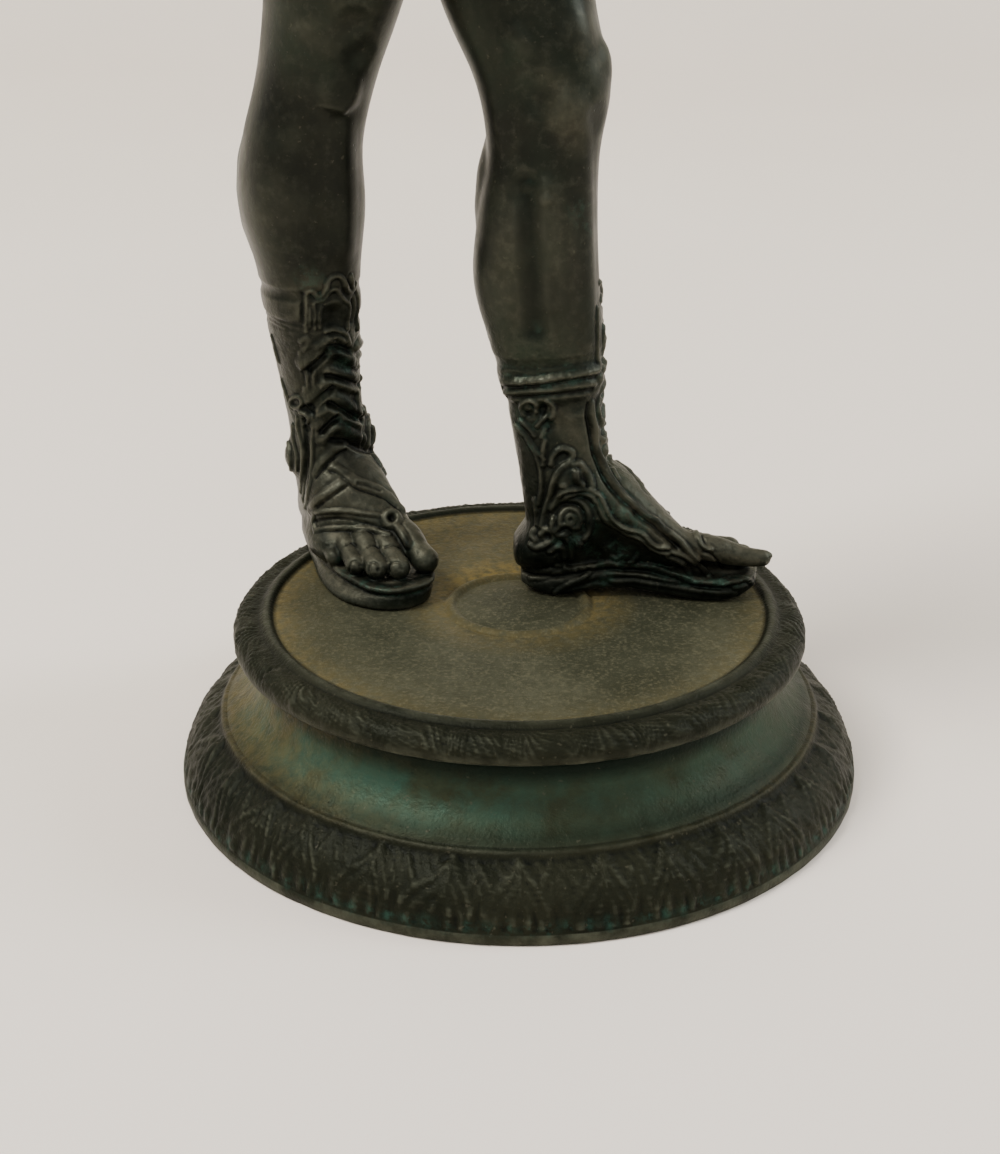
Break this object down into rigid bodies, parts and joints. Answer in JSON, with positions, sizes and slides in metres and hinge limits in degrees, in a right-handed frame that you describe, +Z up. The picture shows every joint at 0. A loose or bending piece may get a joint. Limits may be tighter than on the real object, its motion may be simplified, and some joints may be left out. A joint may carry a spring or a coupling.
{
  "type": "bronze statuette",
  "caption": "Cast bronze statuette of a standing youth in open-toed laced boots and a hip cloth, on a round turned plinth with leaf bands.",
  "frame": {"origin": "centre of the plinth's flat underside", "axes": "+Z up along the plinth's axis, -Y towards the side that the picture shows, +X to that view's right"},
  "size_m": [0.1352, 0.1352, 0.3628],
  "materials": {
    "plinth_bronze": "patinated cast bronze, brown-green, matt with an ochre bloom",
    "figure_bronze": "patinated cast bronze, near black-green, soft semi-gloss"
  },
  "bodies": {
    "root": {"plinth": "plinth_bronze", "figure": "figure_bronze"}
  },
  "joints": []
}
